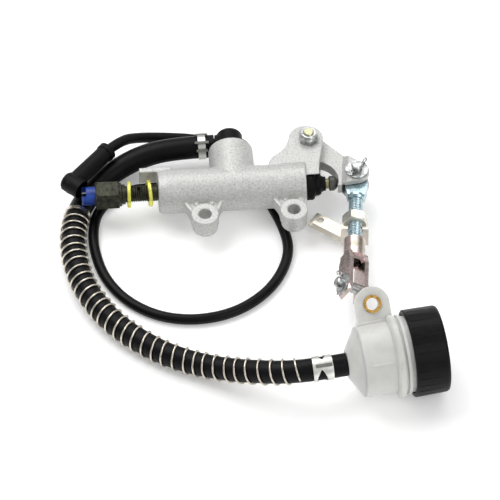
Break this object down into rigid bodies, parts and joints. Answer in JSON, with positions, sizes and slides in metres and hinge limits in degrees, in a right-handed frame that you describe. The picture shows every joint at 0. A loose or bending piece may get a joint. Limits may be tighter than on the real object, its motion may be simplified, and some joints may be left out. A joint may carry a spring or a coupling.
{
  "type": "rear brake master cylinder",
  "caption": "Rear hydraulic brake master cylinder with bell-crank lever, adjustable pull rod, remote fluid reservoir on a spring-guarded hose, and a pressure switch with its lead.",
  "frame": {"origin": "midway between the two mounting holes, on the lugs' rear faces", "axes": "+Z out of the lugs' front faces, parallel to the lever's pivot; +X along the bore towards the push rod; +Y from the mounting lugs across the bore to the inlet"},
  "size_m": [0.2098, 0.2105, 0.0522],
  "materials": {
    "cast_aluminium": "as cast, fine blasted grain",
    "blue_zinc_steel": "blue-white zinc plate",
    "yellow_zinc_steel": "yellow-iridescent zinc plate",
    "dark_steel": "olive-black plated",
    "bright_steel": "bright zinc plate",
    "spring_steel": "drawn wire",
    "crush_yellow": "bright yellow plated washer",
    "brass": "turned",
    "black_rubber": "matt moulded rubber",
    "hose_rubber": "smooth extruded rubber",
    "black_plastic": "semi-matt moulded",
    "blue_plastic": "satin moulded",
    "milky_plastic": "translucent natural"
  },
  "bodies": {
    "cylinder": {"cylinder_body": "cast_aluminium", "inlet_elbow": "black_plastic", "elbow_o_ring": "black_rubber", "return_spring": "spring_steel", "stop_washer": "bright_steel", "bore_circlip": "spring_steel", "dust_boot": "black_rubber", "switch_bolt": "dark_steel", "switch_insulator": "blue_plastic", "switch_terminals": "bright_steel", "crush_washers": "crush_yellow", "pivot_bolt": "yellow_zinc_steel", "pivot_nut": "bright_steel", "reservoir_body": "milky_plastic", "reservoir_base": "milky_plastic", "reservoir_tab": "milky_plastic", "reservoir_bush": "brass", "supply_hose": "hose_rubber", "hose_guard": "spring_steel", "guard_clip": "spring_steel", "elbow_hose_clamp": "bright_steel", "reservoir_hose_clamp": "bright_steel", "switch_lead": "hose_rubber", "lead_boot": "black_rubber", "lead_connector": "black_plastic"},
    "piston": {"piston": "bright_steel", "primary_cup": "black_rubber", "secondary_cup": "black_rubber", "push_rod": "yellow_zinc_steel", "push_rod_head": "dark_steel"},
    "lever": {"lever": "cast_aluminium", "rod_pin": "bright_steel", "rod_pin_washer": "bright_steel", "rod_pin_split_pin": "bright_steel"},
    "pull_rod": {"pull_rod": "blue_zinc_steel", "rod_stay": "yellow_zinc_steel"},
    "lock_nut": {"lock_nut": "yellow_zinc_steel"},
    "fork": {"fork": "yellow_zinc_steel", "clevis_pin": "bright_steel", "clevis_pin_washer": "bright_steel", "clevis_split_pin": "bright_steel"},
    "diaphragm_set": {"diaphragm_plate": "milky_plastic", "diaphragm": "black_rubber"},
    "reservoir_cap": {"reservoir_cap": "black_plastic"}
  },
  "joints": [
    {"name": "lever_swing", "type": "hinge", "parent": "cylinder", "child": "lever", "pos_m": [0.0364, 0.0461, 0.0075], "axis": [0, 0, -1], "range_deg": [0, 15]},
    {"name": "piston_stroke", "type": "slide", "parent": "cylinder", "child": "piston", "axis": [-1, 0, 0], "range_m": [0, 0.0066], "stiffness_N_per_m": 150, "springref_m": -0.006, "deforming": ["return_spring", "dust_boot"]},
    {"name": "rod_swing", "type": "hinge", "parent": "lever", "child": "pull_rod", "pos_m": [0.062, 0.0235, 0.0075], "axis": [0, 0, 1], "range_deg": [-2, 15]},
    {"name": "lock_nut_turn", "type": "hinge", "parent": "pull_rod", "child": "lock_nut", "pos_m": [0.05887, -0.00734, 0.0075], "axis": [-0.1011, -0.9949, 0], "range_deg": [-180, 180]},
    {"name": "fork_turn", "type": "hinge", "parent": "pull_rod", "child": "fork", "pos_m": [0.05695, -0.02624, 0.0075], "axis": [-0.1011, -0.9949, 0], "range_deg": [-90, 90]},
    {"name": "cap_lift", "type": "slide", "parent": "cylinder", "child": "diaphragm_set", "axis": [0.989, 0.1478, 0], "range_m": [0, 0.009]},
    {"name": "cap_turn", "type": "hinge", "parent": "diaphragm_set", "child": "reservoir_cap", "pos_m": [0.0823, -0.11, 0.0135], "axis": [0.989, 0.1478, 0], "range_deg": [0, 1080]}
  ],
  "couplings": [
    {"joint": "piston_stroke", "follows": "lever_swing", "m_per_rad": 0.0251},
    {"joint": "cap_lift", "follows": "cap_turn", "m_per_rad": 0.00047746}
  ]
}
